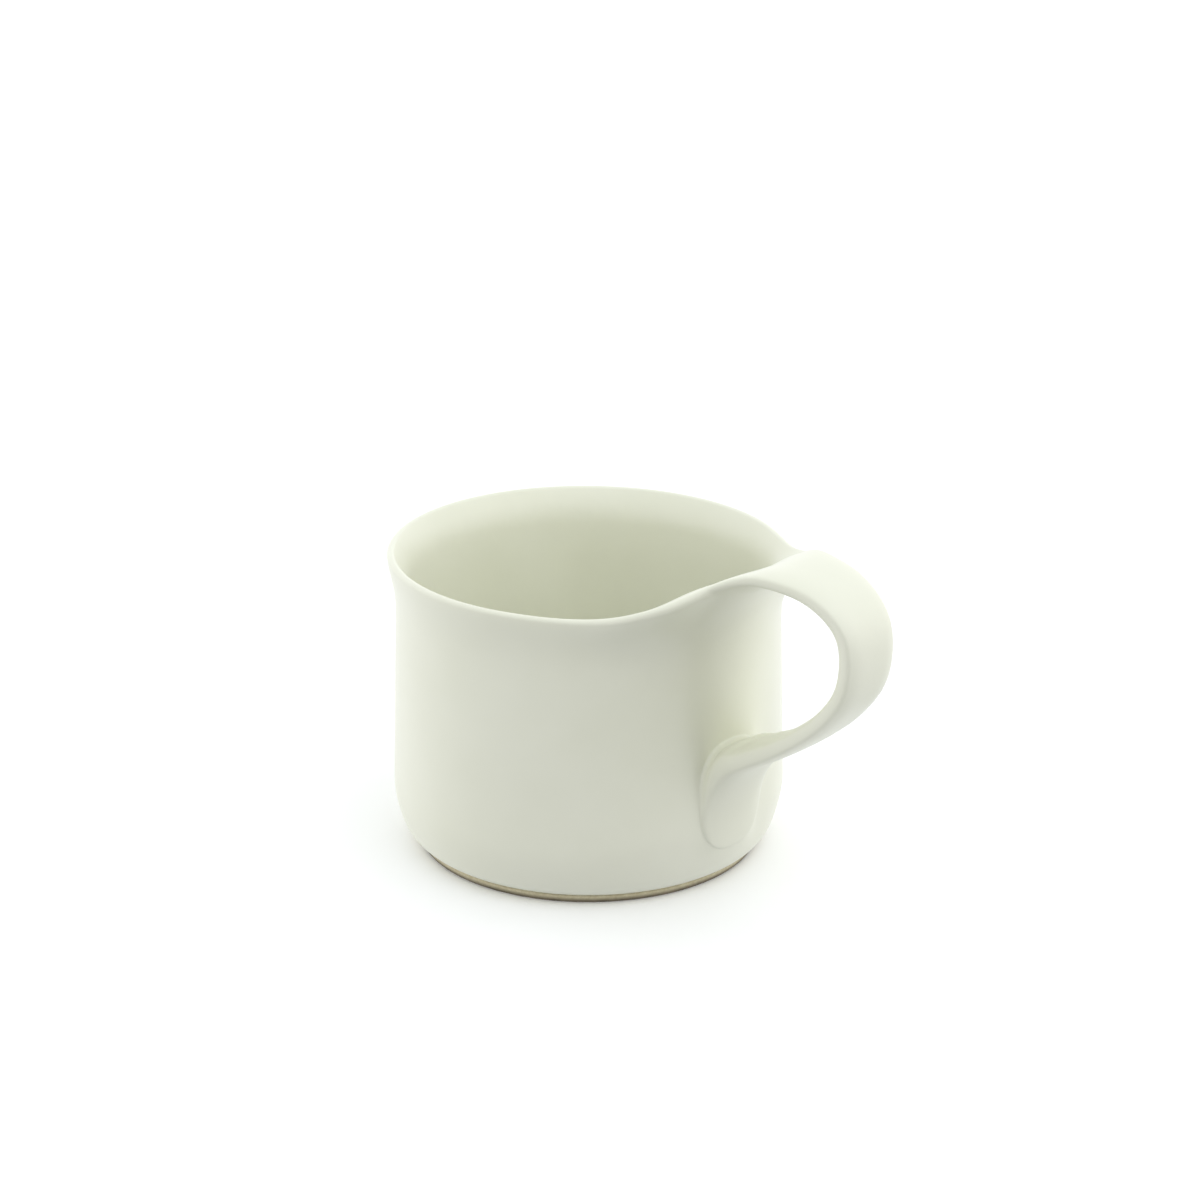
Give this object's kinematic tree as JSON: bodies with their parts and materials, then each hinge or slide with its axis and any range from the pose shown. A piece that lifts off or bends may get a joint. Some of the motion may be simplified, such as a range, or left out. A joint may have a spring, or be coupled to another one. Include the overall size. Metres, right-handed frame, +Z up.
{
  "type": "shaving mug",
  "caption": "Low wide ceramic shaving mug: flared cup whose lip sweeps up into a flat strap handle that curls down to a tongue on the lower wall, on a bare clay foot ring.",
  "frame": {"origin": "on the table, under the middle of the whole mug's box, so the cup's own axis is at x = -19.26 mm", "axes": "+X from the cup towards the handle, +Z up, the mug is symmetric about the XZ plane"},
  "size_m": [0.1298, 0.0914, 0.0817],
  "materials": {
    "white_glaze": "satin off-white glaze over clay",
    "bare_clay": "unglazed, matt, fine grained",
    "glazed_slip": "satin off-white glaze over slip"
  },
  "bodies": {
    "root": {"cup_body": "white_glaze", "foot_ring": "bare_clay", "handle_strap": "white_glaze", "upper_luting_slip": "glazed_slip", "lower_luting_slip": "glazed_slip"}
  },
  "joints": []
}
